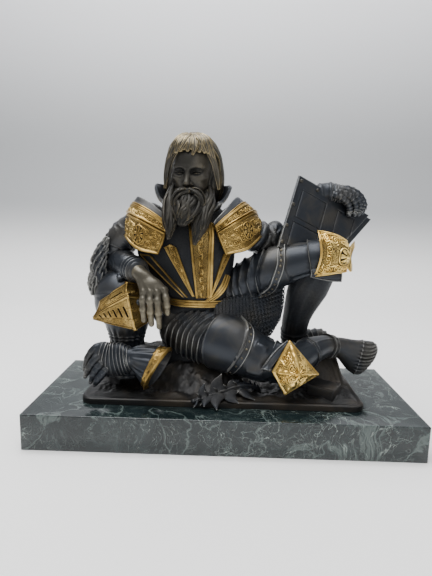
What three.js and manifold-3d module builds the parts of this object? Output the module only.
import * as THREE from 'three';
import { ConvexGeometry } from 'three/addons/geometries/ConvexGeometry.js';
import { mergeVertices } from 'three/addons/utils/BufferGeometryUtils.js';
import Module from 'manifold-3d';

// A bearded knight in parcel-gilt armour sits on rocky ground, on a marble plinth.
// Millimetres. X runs to the right seen from the front, Y to the back, Z up.
// The origin is the middle of the plinth's underside.

const wasm = await Module();
wasm.setup();

const gap = 0.35;

const plinth = { length: 430, depth: 180, height: 40, arris: 1.2 };

const ground = {
  left: -161, right: 157, front: -59, back: 62, cornerRadius: 14,
  base: plinth.height + gap, rim: 46, top: 49, edgeRun: 15, slices: 15, rows: 8,
  mounds: [
    { at: [-30, 14], reach: [76, 62], rise: 30 },
    { at: [-97, 26], reach: [62, 52], rise: 34 },
    { at: [112, 38], reach: [62, 44], rise: 36 },
  ],
};
const block = { corner: [121, -41, 60], length: 30, width: 24, height: 17, turn: 0.6, tilt: 0.04 };
const leaf = { ball: [-34, -60, 48], root: [20, -42, 61], ballRadius: 3.2, ribRadius: 4.2 };

const shoulders = [
  { centre: [-94, 9, 238], radii: [23, 27, 26] },
  { centre: [8, 13, 238], radii: [23, 25, 26] },
];

const torso = {
  squareness: 2.4,
  sides: 14,
  // height, centre x, centre y, half width, half depth
  stations: [
    [68, -38, 24, 40, 34], [104, -38, 22, 43, 36], [132, -36, 15, 39, 31], [150, -33, 8, 35, 27],
    [162, -38, 8, 42, 30], [185, -45, 8, 51, 33], [206, -50, 8, 58, 33.5], [236, -46, 9, 52, 31],
    [254, -45, 11, 40, 25], [268, -44, 11, 21, 18],
  ],
};

const head = {
  centre: [-44, 1, 301], turn: -0.16, bow: 0.16, squareness: 2.5,
  height: 70, halfWidth: 24, frontDepth: 25, backDepth: 30,
};
const hair = {
  // height, centre x, half width, front y, back y
  stations: [
    [343, -43, 5, 0, 14], [338, -43, 15, -11, 27], [328, -43, 24, -17, 36], [314, -43, 30, -10, 41],
    [296, -43, 33.5, -6, 44], [280, -43, 32, -3, 43], [268, -43, 28, 2, 41], [260, -43, 22, 6, 37],
  ],
  locks: 9, lockDepth: 1.2,
};
const collar = {
  centre: [-43, 9], lowRadius: [30, 27], highRadius: [45, 37], low: 250, high: 285, opening: 0.75,
  thickness: 2.6,
};

const joints = {
  shoulderR: [-97, 8, 240], elbowR: [-134, 26, 200], wristR: [-101, -31, 187],
  shoulderL: [12, 14, 240], elbowL: [80, 46, 208], wristL: [111, 47, 272],
  hipL: [-6, 16, 150], kneeL: [112, -8, 207], ankleL: [87, 34, 92],
  hipR: [-66, 8, 118], kneeR: [74, -40, 86], ankleR: [136, 22, 92],
};

const board = {
  topLeft: [82, 20, 301], bottomLeft: [56, -15, 218], topRight: [179, 55, 256],
  rightRun: 47, cover: 3, block: 6.5, overhang: 8, inset: 8, panel: 1, studRadius: 2.8,
};

const colours = {
  marble: { color: 0x2f4a3c, roughness: 0.25, metalness: 0 },
  ground: { color: 0x3b2f27, roughness: 0.5, metalness: 0.8 },
  bronze: { color: 0x2b2724, roughness: 0.4, metalness: 0.9 },
};

const v3 = (p) => new THREE.Vector3(...p);
const mix = (a, b, t) => a + (b - a) * t;
const smooth = (a, b, x) => {
  const t = Math.min(1, Math.max(0, (x - a) / (b - a)));
  return t * t * (3 - 2 * t);
};
const flat = { side: [1, 0, 0], top: [0, 1, 0] };
const bell = (x, width) => Math.exp(-((x / width) ** 2));
const span = (count) => Array.from({ length: count + 1 }, (_, i) => i / count);

// Value of a table of stations at a height, blended smoothly between rows.
function along(rows, x) {
  const up = rows[0][0] < rows.at(-1)[0];
  const sorted = up ? rows : [...rows].reverse();
  let i = sorted.findIndex((row) => row[0] > x);
  if (i < 0) i = sorted.length - 1;
  if (i === 0) i = 1;
  const t = (x - sorted[i - 1][0]) / (sorted[i][0] - sorted[i - 1][0]);
  return sorted[i].map((value, k) => mix(sorted[i - 1][k], value, Math.min(1, Math.max(0, t))));
}

// Makes a closed geometry a solid, with its faces turned outward.
function solid(geometry) {
  const bare = geometry.clone();
  for (const name of ['normal', 'uv']) bare.deleteAttribute(name);
  const merged = mergeVertices(bare, 1e-3);
  const points = Float32Array.from(merged.attributes.position.array);
  const corners = merged.index.array;
  const faces = [];
  let volume = 0;
  const at = (i) => new THREE.Vector3().fromArray(points, 3 * i);
  for (let i = 0; i < corners.length; i += 3) {
    const [a, b, c] = corners.slice(i, i + 3);
    if (a === b || b === c || c === a) continue;
    faces.push([a, b, c]);
    volume += at(a).dot(at(b).cross(at(c)));
  }
  const triVerts = Uint32Array.from(faces.flatMap(([a, b, c]) => (volume > 0 ? [a, b, c] : [a, c, b])));
  const mesh = new wasm.Mesh({ numProp: 3, vertProperties: points, triVerts });
  return new wasm.Manifold(mesh);
}

const join = (solids) => solids.reduce((sum, next) => sum.add(next));

// Keeps the largest body, where a cut left crumbs.
function largest(body) {
  return body.decompose().sort((a, b) => b.volume() - a.volume())[0];
}

// A closed skin over rings that all have the same number of points.
function skin(rings, ends = []) {
  const count = rings[0].length;
  const positions = rings.flat().flatMap((p) => [p.x, p.y, p.z]);
  const index = [];
  for (let r = 0; r < rings.length - 1; r += 1) {
    for (let i = 0; i < count; i += 1) {
      const a = r * count + i;
      const b = r * count + ((i + 1) % count);
      index.push(a, b, b + count, a, b + count, a + count);
    }
  }
  [rings[0], rings.at(-1)].forEach((ring, k) => {
    const first = k * (rings.length - 1) * count;
    const pole = positions.length / 3;
    const middle = ends[k] ?? ring.reduce((s, p) => s.add(p), new THREE.Vector3()).divideScalar(count);
    positions.push(middle.x, middle.y, middle.z);
    for (let i = 0; i < count; i += 1) {
      const a = first + i;
      const b = first + ((i + 1) % count);
      index.push(...(k ? [a, b, pole] : [b, a, pole]));
    }
  });
  const geometry = new THREE.BufferGeometry();
  geometry.setAttribute('position', new THREE.Float32BufferAttribute(positions, 3));
  geometry.setIndex(index);
  return solid(geometry);
}

// A ring of points on a superellipse.
function oval(centre, halves, sides, power = 2, side = flat.side, top = flat.top, relief = () => 0) {
  const s = v3(side);
  const u = v3(top);
  return span(sides).slice(0, -1).map((f) => {
    const angle = 2 * Math.PI * f;
    const c = Math.cos(angle);
    const d = Math.sin(angle);
    const swell = 1 / (Math.abs(c) ** power + Math.abs(d) ** power) ** (1 / power);
    const extra = relief(angle);
    return v3(centre)
      .addScaledVector(s, c * (swell * halves[0] + extra))
      .addScaledVector(u, d * (swell * halves[1] + extra));
  });
}

// A limb along a smooth path. sizes are radii or [half width, half height] at the path's points,
// cuts are [place along, extra radius] pairs, and relief adds to the radius round the limb.
function limb(path, sizes, options = {}) {
  const { sides = 12, steps = 2, cuts, relief = () => 0, up = [0, 0, 1], domes = [0.55, 0.55] } = options;
  const curve = new THREE.CatmullRomCurve3(path.map(v3), false, 'centripetal');
  const last = path.length - 1;
  const pair = (size) => (Array.isArray(size) ? size : [size, size]);
  const sizeAt = (t) => {
    const i = Math.min(last - 1, Math.floor(t * last));
    const f = smooth(0, 1, t * last - i) * 0.5 + (t * last - i) * 0.5;
    return pair(sizes[i]).map((value, k) => mix(value, pair(sizes[i + 1])[k], f));
  };
  const ring = (t, scale, shift, extra) => {
    const tangent = curve.getTangent(t);
    const side = v3(up).cross(tangent).normalize();
    const top = tangent.clone().cross(side);
    const size = sizeAt(t);
    const middle = curve.getPoint(t).addScaledVector(tangent, shift * Math.min(...size));
    const halves = size.map((value) => (value + extra) * scale);
    return oval(middle.toArray(), halves, sides, 2, side.toArray(), top.toArray(), (a) => relief(t, a));
  };
  const places = cuts ?? span(steps * last).map((t) => [t, 0]);
  const rings = places.map(([t, extra]) => ring(t, 1, 0, extra));
  const tip = (t, reach) => {
    const tangent = curve.getTangent(t);
    return curve.getPoint(t).addScaledVector(tangent, reach * Math.min(...sizeAt(t)));
  };
  if (domes[0]) rings.unshift(ring(0, 0.72, -domes[0] * 0.7, 0));
  if (domes[1]) rings.push(ring(1, 0.72, domes[1] * 0.7, 0));
  return skin(rings, [tip(0, -domes[0]), tip(1, domes[1])]);
}

const noTurn = [0, 0, 0];

function ball(centre, radii, turn, detail) {
  const geometry = new THREE.SphereGeometry(1, ...detail);
  const place = new THREE.Matrix4().compose(
    v3(centre),
    new THREE.Quaternion().setFromEuler(new THREE.Euler(...turn)),
    v3(radii),
  );
  return solid(geometry.applyMatrix4(place));
}

const hull = (points) => solid(new ConvexGeometry(points.map(v3)));

// A curved plate of even thickness through rows of points, its outer face away from core.
function plate(rows, core, thickness, options = {}) {
  const { across = 6, down = 4, relief = () => 0 } = options;
  const curves = rows.map((row) => new THREE.CatmullRomCurve3(row.map(v3), false, 'centripetal'));
  const columns = span(across).map((u) => {
    const stops = curves.map((curve) => curve.getPoint(u));
    return new THREE.CatmullRomCurve3(stops, false, 'centripetal');
  });
  const grid = span(down).map((v) => columns.map((column) => column.getPoint(v)));
  const pick = (i, j) => grid[Math.min(down, Math.max(0, i))][Math.min(across, Math.max(0, j))];
  const facing = (i, j) => {
    const du = pick(i, j + 1).clone().sub(pick(i, j - 1));
    const dv = pick(i + 1, j).clone().sub(pick(i - 1, j));
    return du.cross(dv).normalize();
  };
  const middle = [Math.round(down / 2), Math.round(across / 2)];
  const sign = facing(...middle).dot(pick(...middle).clone().sub(v3(core))) < 0 ? -1 : 1;
  const outer = grid.map((row, i) => row.map((p, j) => (
    p.clone().addScaledVector(facing(i, j), sign * relief(j / across, i / down)))));
  const inner = grid.map((row, i) => row.map((p, j) => (
    p.clone().addScaledVector(facing(i, j), -sign * thickness))));
  const ringOf = (i) => [...outer[i], ...inner[i].toReversed()];
  const rings = span(down).map((_, i) => ringOf(i));
  return stripSkin(rings);
}

// A closed skin over flattened rings, whose two ends are closed by quads across the thickness.
function stripSkin(rings) {
  const count = rings[0].length;
  const half = count / 2;
  const positions = rings.flat().flatMap((p) => [p.x, p.y, p.z]);
  const index = [];
  const quad = (a, b, c, d) => index.push(a, b, c, a, c, d);
  for (let r = 0; r < rings.length - 1; r += 1) {
    for (let i = 0; i < count; i += 1) {
      const next = (i + 1) % count;
      quad(r * count + i, r * count + next, (r + 1) * count + next, (r + 1) * count + i);
    }
  }
  const end = (rings.length - 1) * count;
  for (let i = 0; i < half - 1; i += 1) {
    const back = count - 1 - i;
    quad(i + 1, i, back, back - 1);
    quad(end + i, end + i + 1, end + back - 1, end + back);
  }
  const geometry = new THREE.BufferGeometry();
  geometry.setAttribute('position', new THREE.Float32BufferAttribute(positions, 3));
  geometry.setIndex(index);
  return solid(geometry);
}

// Front of the torso at a place across and a height.
function chest(x, z, proud = 0) {
  const [, cx, cy, hx, hy] = along(torso.stations, z);
  const reach = Math.min(0.98, Math.abs((x - cx) / hx));
  const front = cy - hy * (1 - reach ** torso.squareness) ** (1 / torso.squareness);
  return [x, front - proud, z];
}

// Marble slab with its upper edges just eased.
function marblePlinth() {
  const { length, depth, height, arris } = plinth;
  const corners = [[-1, -1], [1, -1], [1, 1], [-1, 1]];
  const level = (z, inset) => corners.map(([i, j]) => (
    v3([i * (length / 2 - inset), j * (depth / 2 - inset), z])));
  return skin([level(0, 0), level(height - arris, 0), level(height, arris)]);
}

// Height of the rocky ground at a place, above the base of the plinth.
function groundHeight(x, y, inset) {
  const lumps = 1.6 * Math.sin(x / 13 + y / 19) * Math.cos(y / 11 - x / 37);
  const rises = ground.mounds.map(({ at, reach, rise }) => {
    const away = Math.hypot((x - at[0]) / reach[0], (y - at[1]) / reach[1]);
    return rise * (1 - smooth(0.3, 1.05, away));
  });
  const open = ground.top + lumps + Math.max(...rises);
  return mix(ground.rim, open, smooth(0, ground.edgeRun, inset));
}

// Slab of rock with rounded corners, cut across into slices from left to right.
function rockyGround() {
  const { left, right, front, back, cornerRadius, base, slices, rows } = ground;
  const ends = [0, 2, 6];
  const inner = span(slices).map((f) => mix(cornerRadius, right - left - cornerRadius, f));
  const runs = [...ends, ...inner, ...ends.map((d) => right - left - d).toReversed()];
  const rings = runs.map((run) => {
    const x = left + run;
    const fromEnd = Math.min(run, right - left - run);
    const short = Math.max(0, cornerRadius - fromEnd);
    const inset = cornerRadius - Math.sqrt(cornerRadius ** 2 - short ** 2);
    const [near, far] = [front + inset, back - inset];
    const across = [0, 0.02, ...span(rows).map((f) => mix(0.08, 0.92, f)), 0.98, 1];
    const top = across.map((f) => {
      const y = mix(near, far, f);
      return v3([x, y, groundHeight(x, y, Math.min(y - near, far - y, fromEnd))]);
    });
    return [v3([x, far, base]), v3([x, near, base]), ...top];
  });
  return skin(rings);
}

function stoneBlock() {
  const { corner, length, width, height, turn, tilt } = block;
  const geometry = new THREE.BoxGeometry(length, width, height);
  geometry.translate(-length / 2, width / 2, -height / 2);
  geometry.rotateX(tilt).rotateZ(-turn).translate(...corner);
  return solid(geometry);
}

// A spine of the leaf: a sharp cone between two places on the rib and its tip.
function spine(from, to, tip, thickness = 1.6) {
  const edge = v3(to).sub(v3(from)).normalize();
  const across = edge.cross(v3(tip).sub(v3(from))).normalize().multiplyScalar(thickness);
  const both = (p) => [v3(p).add(across).toArray(), v3(p).sub(across).toArray()];
  return hull([...both(from), ...both(to), tip]);
}

function thistleLeaf() {
  const { ball: bud, root, ballRadius, ribRadius } = leaf;
  const rib = [bud, [-20, -56, 52], [0, -49, 57], root, [34, -30, 55], [42, -22, 46]];
  const upper = [
    [[-30, -59, 49], [-14, -54, 53], [-23, -51, 65]],
    [[-18, -55, 52], [6, -47, 58], [-4, -43, 74]],
    [[0, -49, 57], [24, -39, 60], [16, -39, 66]],
  ];
  const lower = [
    [[-24, -57, 51], [-10, -52, 54], [-22, -67, 45]],
    [[-16, -55, 53], [2, -49, 56], [-8, -70, 43]],
    [[-6, -51, 54], [16, -43, 59], [16, -60, 47]],
    [[10, -46, 58], [26, -37, 58], [34, -52, 48]],
  ];
  return join([
    ball(bud, [ballRadius, ballRadius, ballRadius], noTurn, [10, 7]),
    limb(rib, [2.4, ribRadius, ribRadius, ribRadius, 4, 4], { sides: 6, steps: 1 }),
    ...[...upper, ...lower].map((three) => spine(...three)),
  ]);
}

function bronzeGround() {
  return join([rockyGround(), stoneBlock(), thistleLeaf()]);
}

// Turns a point of the head's own space into the statue's.
function headPlace(x, y, z) {
  const turned = new THREE.Euler(head.bow, 0, head.turn, 'ZXY');
  return v3([x, y, z]).applyEuler(turned).add(v3(head.centre));
}

// Skull and face on plain canon: eyes halfway up, nose and brow at even thirds.
function headForm() {
  const { height, halfWidth, frontDepth, backDepth, squareness } = head;
  const sides = 16;
  const levels = 13;
  const rings = [];
  for (let i = 1; i < levels; i += 1) {
    const f = 0.5 - 0.5 * Math.cos((Math.PI * i) / levels);
    const vault = Math.sqrt(Math.max(0, 1 - Math.abs(2 * f - 1) ** 2.6));
    const jaw = mix(0.72, 1, smooth(0, 0.45, f));
    const ring = span(sides).slice(0, -1).map((g) => {
      const angle = -Math.PI / 2 + 2 * Math.PI * g - 0.3 * Math.sin(2 * Math.PI * g);
      const [c, s] = [Math.cos(angle), Math.sin(angle)];
      const swell = vault / (Math.abs(c) ** squareness + Math.abs(s) ** squareness) ** (1 / squareness);
      const across = c * halfWidth * swell * jaw;
      const inFront = s < 0;
      const depth = s * swell * (inFront ? frontDepth * mix(0.86, 1, jaw) : backDepth);
      const u = across / halfWidth;
      const nose = f > 0.29 ? 8 * (1 - smooth(0.3, 0.56, f)) + 2.2 * bell(f - 0.5, 0.08) : 0;
      const brow = 2.2 * bell(f - 0.58, 0.045) * bell(u, 0.75);
      const sockets = 3.4 * bell(f - 0.505, 0.045) * (bell(u - 0.42, 0.2) + bell(u + 0.42, 0.2));
      const lips = 1.6 * bell(f - 0.2, 0.035) * bell(u, 0.35);
      const relief = inFront ? nose * bell(u, 0.17) * smooth(0.27, 0.31, f) + brow - sockets + lips : 0;
      return headPlace(across, depth - relief, (f - 0.5) * height);
    });
    rings.push(ring);
  }
  return skin(rings, [headPlace(0, 0, -height / 2), headPlace(0, 2, height / 2)]);
}

function hairMass() {
  const { stations, locks, lockDepth } = hair;
  const rings = stations.map(([z, x, halfWidth, front, back]) => (
    oval([x, (front + back) / 2, z], [halfWidth, (back - front) / 2], locks * 2, 2.5, flat.side, flat.top,
      (angle) => lockDepth * Math.cos(locks * angle) * smooth(343, 325, z))));
  const forelock = limb([[-42, -12, 336], [-40, -22, 327], [-41, -25, 318]], [[9, 5], [7, 4], [2.5, 2]],
    { sides: 8, steps: 1 });
  return join([skin(rings), forelock]);
}

function beard() {
  const locks = [
    { path: [[-47, -12, 278], [-47, -28, 263], [-49, -37, 252], [-51, -41, 241]],
      sizes: [[21, 12], [20, 11], [15, 9], [7, 4]], sides: 9 },
    { path: [[-61, -10, 278], [-65, -24, 260], [-66, -32, 242], [-66, -37, 224]],
      sizes: [[8, 9], [9, 8], [8, 6], [2.5, 2.5]], sides: 6 },
    { path: [[-29, -8, 278], [-28, -22, 260], [-33, -35, 240], [-37, -41, 219]],
      sizes: [[9, 9], [10, 8], [9, 7], [2.5, 2.5]], sides: 6 },
    { path: [[-45, -27, 277], [-55, -28, 274], [-61, -29, 262], [-62, -31, 250]],
      sizes: [[4, 4], [5, 4], [4, 4], [2, 2]], sides: 5 },
    { path: [[-45, -27, 277], [-36, -28, 274], [-30, -29, 263], [-29, -31, 252]],
      sizes: [[4, 4], [5, 4], [4, 4], [2, 2]], sides: 5 },
  ];
  return join(locks.map(({ path, sizes, sides }) => limb(path, sizes, { sides, steps: 1 })));
}

// Standing collar, flared outward and open at the throat.
function standingCollar() {
  const { centre, lowRadius, highRadius, low, high, opening, thickness } = collar;
  const row = (f) => span(8).map((u) => {
    const angle = -Math.PI / 2 + opening + u * (2 * Math.PI - 2 * opening);
    const edge = smooth(0, 0.18, Math.min(u, 1 - u));
    const radii = [0, 1].map((k) => mix(lowRadius[k], highRadius[k], f));
    const z = mix(low, mix(low + 14, high, edge), f);
    return [centre[0] + radii[0] * Math.cos(angle), centre[1] + radii[1] * Math.sin(angle), z];
  });
  return plate([row(0), row(0.5), row(1)], [...centre, low + 10], thickness, { across: 10, down: 2 });
}

function torsoForm() {
  const { stations, sides, squareness } = torso;
  return skin(stations.map(([z, cx, cy, hx, hy]) => oval([cx, cy, z], [hx, hy], sides, squareness)));
}

// Raised gilt bands that fan out from the belt over the breastplate.
function chestBands() {
  const bands = [
    { top: [-45, -19, 240], bottom: [-35, -18, 156] },
    { top: [-72, -58, 212], bottom: [-40, -37, 158] },
    { top: [-103, -89, 204], bottom: [-50, -45, 158] },
    { top: [-4, 4, 210], bottom: [-21, -15, 158] },
  ];
  return bands.map(({ top, bottom }) => {
    const row = (f) => {
      const z = mix(bottom[2], top[2], f);
      const [left, right] = [0, 1].map((k) => mix(bottom[k], top[k], f));
      return [left, (left + right) / 2, right].map((x) => chest(x, z, 1.8));
    };
    return plate([row(0), row(0.35), row(0.7), row(1)], [-38, 20, 190], 3.2, { across: 2, down: 4 });
  });
}

function belt() {
  const rows = [154, 148, 142].map((z, k) => span(10).map((u) => {
    const [, cx, cy, hx, hy] = along(torso.stations, z);
    const angle = 2 * Math.PI * u;
    const proud = k === 1 ? 3 : 1.6;
    return v3([cx + (hx + proud) * Math.cos(angle), cy + (hy + proud) * Math.sin(angle), z]);
  }));
  const inner = rows.toReversed().map((ring) => ring.map((p) => (
    v3([mix(p.x, torso.stations[3][1], 0.2), mix(p.y, torso.stations[3][2], 0.2), p.z]))));
  return skin(closedRings([...rows, ...inner]));
}

// Drops the doubled last point of each ring.
function closedRings(rings) {
  return rings.map((ring) => ring.slice(0, -1));
}

// Raised bead along a shoulder plate's upper edge.
const beadedEdge = (u, v) => 1.8 * (1 - smooth(0, 0.2, v));

function pauldronR() {
  const core = [-88, 10, 228];
  const rows = [
    [[-69, -25, 248], [-87, -19, 262], [-106, 1, 270], [-103, 22, 262], [-82, 36, 247]],
    [[-70, -32, 228], [-96, -31, 240], [-119, -4, 248], [-118, 24, 240], [-90, 41, 228]],
    [[-78, -34, 206], [-102, -32, 211], [-120, -10, 224], [-119, 22, 218], [-94, 40, 208]],
  ];
  return plate(rows, core, 3, { across: 7, down: 4, relief: beadedEdge });
}

function pauldronL() {
  const core = [6, 14, 228];
  const rows = [
    [[-17, -21, 246], [-6, -16, 258], [8, 4, 272], [12, 24, 264], [0, 36, 248]],
    [[-12, -27, 228], [10, -24, 240], [34, 2, 250], [36, 26, 242], [8, 42, 228]],
    [[-3, -27, 207], [22, -21, 213], [38, 0, 226], [38, 26, 220], [12, 42, 208]],
  ];
  return plate(rows, core, 3, { across: 7, down: 4, relief: beadedEdge });
}

// Finger with a knuckle swelling at its first and second joints.
function finger(path, radius) {
  const sizes = path.map((_, i) => radius * mix(1, 0.76, i / (path.length - 1)));
  return limb(path, sizes, { sides: 6, steps: 1, domes: [0, 0.7] });
}

// Rolled rings between two places along a limb.
function rolls(from, to, count, proud) {
  return span(count * 2).map((f) => [mix(from, to, f), Math.round(f * count * 2) % 2 ? proud : 0]);
}

function armR() {
  const { shoulderR, elbowR, wristR } = joints;
  const upper = limb([shoulderR, [-126, 14, 222], elbowR], [21, 18.5, 16.5],
    { sides: 9, steps: 2, relief: (t, a) => 0.9 * Math.sin(24 * t + 2 * Math.cos(a)) });
  const fore = limb([elbowR, [-120, -2, 194], wristR], [16, 15, 12.5],
    { sides: 10, cuts: [[0, 0], [0.4, 0], ...rolls(0.72, 1, 3, 2.4)] });
  const palm = skin([
    oval([-104, -29, 188], [10, 10], 10, 2, [0.62, 0.78, 0], [0, 0, 1]),
    oval([-95, -37, 183], [11, 9], 10, 2, [0.8, 0.45, 0.4], [-0.3, -0.4, 0.85]),
    oval([-86, -42, 174], [12.5, 7.5], 10, 2, [0.95, 0.1, 0.28], [0, -0.8, 0.6]),
    oval([-80, -44, 165], [13.5, 6.5], 10, 2, [1, 0, 0.1], [0, -0.93, 0.35]),
    oval([-79, -45, 159], [12, 5], 10, 2, [1, 0, 0.1], [0, -1, 0.1]),
  ]);
  const fingers = [
    [[-91, -44, 165], [-90, -49, 155], [-89, -50, 146], [-91, -47, 136]],
    [[-83, -46, 165], [-81, -52, 153], [-80, -52, 143], [-81, -49, 132]],
    [[-75, -45, 165], [-74, -52, 152], [-74, -52, 141], [-75, -48, 128]],
    [[-70, -41, 169], [-66, -45, 160], [-64, -47, 153], [-64, -45, 145]],
  ].map((path) => finger(path, 4.4));
  const thumb = finger([[-88, -32, 174], [-76, -32, 164], [-70, -35, 153], [-69, -37, 143]], 4.8);
  return [upper, fore, palm, ...fingers, thumb];
}

// Turns distances along and down the board, and in front of it, into a place.
const boardAxes = (() => {
  const corner = v3(board.topLeft);
  const along2 = v3(board.topRight).sub(corner);
  const length = along2.length();
  along2.normalize();
  const edge = v3(board.bottomLeft).sub(corner);
  const height = edge.length();
  const front = edge.clone().cross(along2).normalize();
  const down = along2.clone().cross(front).normalize();
  return { corner, along: along2, down, front, length, height };
})();

function onBoard(across, down, out) {
  const { corner, along: side, down: fall, front } = boardAxes;
  return corner.clone().addScaledVector(side, across).addScaledVector(fall, down)
    .addScaledVector(front, out).toArray();
}

function armL() {
  const { shoulderL, elbowL, wristL } = joints;
  const upper = limb([shoulderL, [44, 26, 222], elbowL], [21, 17, 15.5],
    { sides: 10, cuts: [[0, 0], ...rolls(0.3, 0.66, 3, 2.4), [1, 0]] });
  const fore = limb([elbowL, [97, 50, 240], wristL], [15.5, 14, 10.5], { sides: 10, steps: 2 });
  const couter = ball([54, 22, 228], [13, 15, 19], [0, 0.3, 0.4], [8, 6]);
  const hand = limb([wristL, onBoard(38, 4, -13), onBoard(50, -3, -3), onBoard(64, -4, 3)],
    [[10, 10], [11, 10], [9, 11], [6, 11]], { sides: 10, steps: 1, up: boardAxes.down.toArray() });
  const fingers = [
    [onBoard(58, -9, 1), onBoard(72, -14, 4), onBoard(85, -12, 7), onBoard(95, -3, 7), onBoard(96, 5, 5)],
    [onBoard(56, -6, 4), onBoard(71, -8, 8), onBoard(83, -5, 9), onBoard(91, 3, 7), onBoard(91, 9, 5)],
    [onBoard(54, -2, 5), onBoard(67, -2, 8), onBoard(78, 1, 9), onBoard(86, 7, 6)],
    [onBoard(52, 2, 4), onBoard(62, 4, 7), onBoard(71, 7, 8), onBoard(79, 11, 5)],
    [onBoard(56, -5, -6), onBoard(72, -8, -9), onBoard(84, -5, -15), onBoard(89, 6, -17)],
  ].map((path) => finger(path, 4.8));
  return [upper, fore, couter, hand, ...fingers];
}

// Steps for a run of overlapping lames between two places along a limb.
function lameSteps(from, to, count, lip) {
  return span(count).slice(0, -1).flatMap((f) => {
    const start = mix(from, to, f);
    return [[start, lip * 0.1], [start + 0.004, lip]];
  });
}

function legL() {
  const { hipL, kneeL, ankleL } = joints;
  const cuts = [
    [0, 0], ...lameSteps(0.12, 0.34, 4, 1.8), [0.34, 0.2], [0.344, 2], [0.43, 2.6], [0.52, 1.2],
    [0.524, 2.6],
    [0.575, 2.6], [0.58, 0.2], [0.83, 0], [0.834, 2.4], [1, 4],
  ];
  const thigh = limb([hipL, [33, 8, 180], [76, 0, 198], kneeL], [[21, 20], [23, 23.5], [22, 23], [18, 18]],
    { sides: 10, cuts });
  const knee = ball([115, -9, 208], [17, 17, 20], noTurn, [8, 6]);
  const poleyn = plate([
    [[100, -20, 236], [116, -30, 233], [131, -24, 225], [134, -2, 222]],
    [[100, -33, 212], [119, -38, 213], [138, -22, 209], [139, 4, 208]],
    [[100, -25, 188], [116, -33, 190], [135, -22, 193], [137, 2, 194]],
  ], [112, 0, 208], 3, { across: 6, down: 2 });
  const fan = spineFan([136, -8, 208]);
  const flap = hull([
    [94, -24, 196], [94, -24, 185], [128, -24, 181], [128, -24, 193],
    [94, 2, 192], [128, 2, 184], [96, 4, 200],
  ]);
  const greave = limb(
    [[110, -4, 200], [94, 6, 170], [86, 22, 128], ankleL], [[19, 19], [21, 21], [18, 18], [14, 15]],
    { sides: 10, steps: 1, up: [1, 0, 0], relief: (t, a) => 0.8 * Math.cos(5 * a) },
  );
  const foot = limb([[80, 34, 88], [104, 40, 93], [122, 42, 97], [134, 42, 94]],
    [[12, 12], [12, 13], [12, 11], [8, 7]], { sides: 10, steps: 1 });
  return [thigh, knee, poleyn, fan, flap, greave, foot];
}

// Pointed fan at the outer side of the raised knee.
function spineFan(at) {
  const [x, y, z] = at;
  return hull([
    [x - 6, y - 10, z + 8], [x - 6, y - 10, z - 8], [x + 5, y + 2, z + 12], [x + 7, y + 4, z],
    [x + 5, y + 2, z - 12], [x - 4, y + 14, z + 8], [x - 4, y + 14, z - 8],
  ]);
}

function legR() {
  const { hipR, kneeR, ankleR } = joints;
  const cuts = [
    [0, 0], ...lameSteps(0.06, 0.38, 5, 2), [0.38, 0.2], [0.384, 2.6], [0.5, 4], [0.61, 2], [0.614, 2.8],
    [0.68, 2.8], [0.684, 0.2], [0.88, 0], [0.884, 2.4], [1, 2.6],
  ];
  const thigh = limb([hipR, [-40, 0, 112], [-16, -8, 107], [10, -15, 100], [40, -26, 91], kneeR],
    [[24, 24], [30, 32], [30, 34], [28, 31], [23, 24], [17, 18]],
    { sides: 12, cuts, relief: (t, a) => (t > 0.68 && t < 0.885 ? 1.2 * Math.cos(6 * a) : 0) });
  const poleyn = hull([
    [70, -45, 117], [106, -42, 77], [66, -57, 57], [51, -55, 83], [78, -69, 88],
    [72, -30, 112], [100, -26, 80], [68, -34, 62], [56, -34, 84],
  ]);
  const sidePlate = hull([
    [61, -38, 111], [70, -44, 115], [51, -54, 83], [39, -49, 84], [56, -30, 108], [66, -26, 112],
    [42, -34, 84], [50, -34, 80],
  ]);
  const shank = limb(
    [[76, -36, 86], [98, -14, 94], [120, 6, 96], ankleR], [[17, 17], [16, 16], [13, 13], [11, 11]],
    {
      sides: 10, cuts: [[0, 0], [0.33, 0], [0.66, 0], [0.88, 0], [0.884, 2], [1, 2]],
      relief: (t, a) => 0.8 * Math.cos(5 * a),
    },
  );
  const foot = skin([
    oval([134, 22, 92], [11, 9], 11, 2, [0, 0, 1], [0, 1, 0]),
    oval([146, 25, 88], [14, 9], 11, 2, [0.1, 0, 1], [0, 1, 0]),
    oval([160, 26, 80], [20, 9], 11, 2.2, [0.18, 0, 1], [0, 1, 0]),
    oval([176, 27, 76], [23, 9], 11, 2.2, [0.26, 0, 1], [0, 1, 0]),
    oval([187, 28, 78], [17, 7.5], 11, 2.2, [0.3, 0, 1], [0, 1, 0]),
    oval([192, 28, 80], [10, 5], 11, 2.2, [0.3, 0, 1], [0, 1, 0]),
  ]);
  return [thigh, poleyn, sidePlate, shank, foot];
}

// Mail skirt that hangs between the thighs.
function mailSkirt() {
  return hull([
    [-12, -12, 150], [14, -8, 154], [66, 2, 174], [66, 8, 129], [50, 2, 110], [24, -14, 116],
    [-10, -20, 130], [0, 26, 152], [60, 20, 166], [58, 22, 130], [46, 22, 112], [0, 24, 118],
  ]);
}

function seatedKnight(groundBody, boardSpace) {
  const parts = [
    torsoForm(), limb([[-44, 10, 250], [-44, 6, 284]], [16, 14], { steps: 1 }),
    headForm(), hairMass(), beard(), standingCollar(), ...chestBands(), belt(), pauldronR(), pauldronL(),
    ...shoulders.map(({ centre, radii }) => ball(centre, radii, noTurn, [8, 5])),
    ...armR(), ...armL(), ...legL(), ...legR(), mailSkirt(),
  ];
  const clear = groundBody.translate([0, 0, gap]).add(boardSpace);
  return largest(join(parts).subtract(clear));
}

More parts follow.
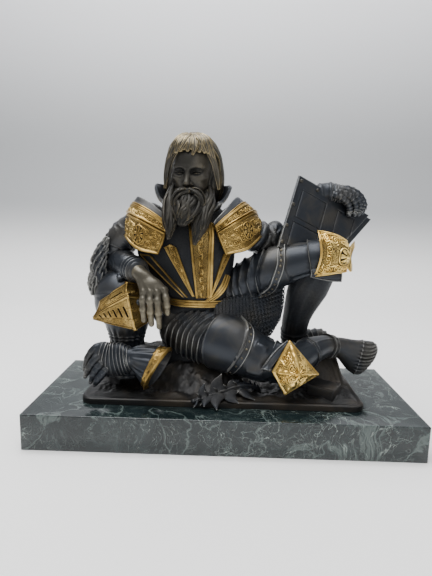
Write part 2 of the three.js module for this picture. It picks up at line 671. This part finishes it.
function helmetForm(groundBody, knightBody) {
  const centre = [-124, 0, 148];
  const skull = ball(centre, [34, 34, 38], noTurn, [12, 8]);
  const comb = limb([[-122, -26, 177], [-126, -6, 186], [-134, 16, 182], [-140, 30, 164]],
    [[3, 4], [3, 5], [3, 5], [3, 4]], { sides: 6, steps: 1, up: [1, 0.3, 0] });
  const visor = hull([
    [-155, -20, 130], [-150, -22, 140], [-114, -34, 175], [-108, -44, 162], [-100, -48, 123],
    [-96, -30, 160], [-92, -31, 126], [-106, -28, 172], [-140, 0, 128], [-100, 0, 128], [-112, 0, 172],
  ]);
  const brow = limb([[-153, -23, 131], [-132, -35, 147], [-109, -45, 161], [-96, -31, 158]],
    [1.6, 1.6, 1.6, 1.6], { sides: 5, steps: 1 });
  const neck = skin([[60, 27], [78, 24], [92, 21], [104, 20], [118, 25], [130, 28]].map(([z, r]) => (
    oval([-119, -4, z], [r, r], 14, 2, flat.side, flat.top, (a) => 1.1 * Math.cos(7 * a)))));
  const plume = join([
    limb([[-146, 2, 166], [-158, -2, 182], [-161, -3, 198], [-155, -3, 210], [-145, -2, 222]],
      [[6, 6], [7, 7], [7, 6], [5, 5], [2.5, 2.5]], { sides: 6 }),
    limb([[-156, -2, 178], [-163, 0, 168], [-163, 1, 154]], [[5, 5], [5, 5], [3, 3]], { sides: 6 }),
  ]);
  const body = join([skull, comb, visor, brow, neck, plume]);
  const swollen = knightBody.add(knightBody.translate([-gap / 2, -gap / 2, -gap]));
  return largest(body.subtract(groundBody.translate([0, 0, gap])).subtract(swollen));
}

function gauntletForm(groundBody, others) {
  const lames = [[0, 0], ...lameSteps(0.12, 0.78, 4, 1.6), [0.8, 0.2], [1, 0]];
  const hand = limb([[-146, -37, 88], [-130, -40, 86], [-116, -42, 88], [-104, -44, 90]],
    [[8, 17], [10, 20], [10, 18], [10, 12]], { sides: 12, cuts: lames });
  const fingers = [
    [[-137, -36, 101], [-147, -38, 99], [-156, -40, 88], [-160, -42, 74]],
    [[-137, -40, 94], [-146, -44, 88], [-153, -46, 78], [-158, -46, 67]],
    [[-137, -43, 86], [-143, -47, 79], [-148, -48, 71], [-152, -47, 61]],
    [[-133, -45, 78], [-138, -48, 72], [-143, -50, 65], [-147, -48, 58]],
  ].map((path) => finger(path, 4.6));
  const long = v3([0.5, 0.22, 0.84]).normalize();
  const mouth = v3([-75, -46, 79]);
  const facing = v3([0.86, -0.3, -0.41]).normalize();
  const wide = long.clone().cross(facing).normalize();
  const flare = (scale) => [
    oval([-108, -44, 90], [13 * scale, 9 * scale], 12, 2, [0, 0, 1], [0, 1, 0]),
    oval([-97, -45, 88], [17 * scale, 11 * scale], 12, 2, [0.15, 0.1, 1], [0, 1, 0.1]),
    oval(mouth.toArray(), [27 * scale, 18 * scale], 12, 2, long.toArray(), wide.toArray()),
  ];
  const cuff = skin(flare(1));
  const hollow = flare(0.86).slice(1).map((ring, i) => (
    ring.map((p) => p.clone().add(v3([i ? 3 : 4, 0, 0])))));
  const rim = limbRing(mouth, long, wide, [27, 18], 2.2);
  const body = join([hand, ...fingers, cuff, rim]).subtract(skin(hollow));
  const clear = join([groundBody.translate([0, 0, gap]), ...others]);
  return largest(body.subtract(clear));
}

function limbRing(centre, long, wide, halves, thick) {
  const normal = long.clone().cross(wide);
  const sections = 12;
  const rings = span(sections).slice(0, -1).map((f) => {
    const angle = 2 * Math.PI * f;
    const out = long.clone().multiplyScalar(Math.cos(angle)).addScaledVector(wide, Math.sin(angle));
    const p = centre.clone().addScaledVector(long, halves[0] * Math.cos(angle))
      .addScaledVector(wide, halves[1] * Math.sin(angle));
    return span(4).slice(0, -1).map((g) => p.clone()
      .addScaledVector(out, thick * Math.cos(2 * Math.PI * g))
      .addScaledVector(normal, thick * Math.sin(2 * Math.PI * g)));
  });
  return torusSkin(rings);
}

// A closed skin over rings that come back to the first one.
function torusSkin(rings) {
  const count = rings[0].length;
  const positions = rings.flat().flatMap((p) => [p.x, p.y, p.z]);
  const index = [];
  rings.forEach((_, r) => {
    const next = ((r + 1) % rings.length) * count;
    for (let i = 0; i < count; i += 1) {
      const a = r * count + i;
      const b = r * count + ((i + 1) % count);
      const c = next + ((i + 1) % count);
      const d = next + i;
      index.push(a, b, c, a, c, d);
    }
  });
  const geometry = new THREE.BufferGeometry();
  geometry.setAttribute('position', new THREE.Float32BufferAttribute(positions, 3));
  geometry.setIndex(index);
  return solid(geometry);
}

// Front cover, thicker block and back cover, with raised panels and studs, all swollen by a little.
function studdedBoard(swell = 0) {
  const { length, height } = boardAxes;
  const { rightRun, cover, block: thick, overhang, inset, panel, studRadius } = board;
  const lean = (d) => (rightRun * d) / height;
  const slab = (left, right, top, bottom, back, front) => {
    const [l, r, t, b] = [left - swell, right + swell, top - swell, bottom + swell];
    return hull([[l, t], [l, b], [r - lean(t), t], [r - lean(b), b]].flatMap(
      ([u, d]) => [back - swell, front + swell].map((n) => onBoard(u, d, n))));
  };
  const pieces = [
    slab(0, length, 0, height, -cover, 0),
    slab(inset, length + overhang, 2, height - 2, -cover - thick, -cover + 0.5),
    slab(inset, length, 0, height, -2 * cover - thick, -cover - thick + 0.5),
  ];
  for (const [left, right, top, bottom] of [[12, 58, 12, 46], [60, 106, 12, 46], [12, 106, 54, 86]]) {
    pieces.push(slab(left, right, top, bottom, -cover, panel));
  }
  const stud = (u, d) => ball(onBoard(u, d, 0), Array(3).fill(studRadius + swell), noTurn, [6, 4]);
  for (const d of [6, 30, 55, 79]) pieces.push(stud(6, d));
  for (const u of [30, 54]) pieces.push(stud(u, 6));
  return join(pieces);
}

function toMesh(name, body, look) {
  const { vertProperties, triVerts } = body.getMesh();
  const geometry = new THREE.BufferGeometry();
  geometry.setAttribute('position', new THREE.BufferAttribute(vertProperties, 3));
  geometry.setIndex(new THREE.BufferAttribute(triVerts, 1));
  geometry.computeVertexNormals();
  const mesh = new THREE.Mesh(geometry, new THREE.MeshStandardMaterial(look));
  mesh.name = name;
  return mesh;
}

const boardBody = studdedBoard();
const groundBody = bronzeGround();
const knightBody = seatedKnight(groundBody, studdedBoard(gap));
const helmetBody = helmetForm(groundBody, knightBody);
const gauntletBody = gauntletForm(groundBody, [helmetBody, knightBody]);

const group = new THREE.Group();
group.add(
  toMesh('marble_plinth', marblePlinth(), colours.marble),
  toMesh('bronze_ground', groundBody, colours.ground),
  toMesh('seated_knight', knightBody, colours.bronze),
  toMesh('helmet', helmetBody, colours.bronze),
  toMesh('gauntlet', gauntletBody, colours.bronze),
  toMesh('studded_board', boardBody, colours.bronze),
);

export default group;
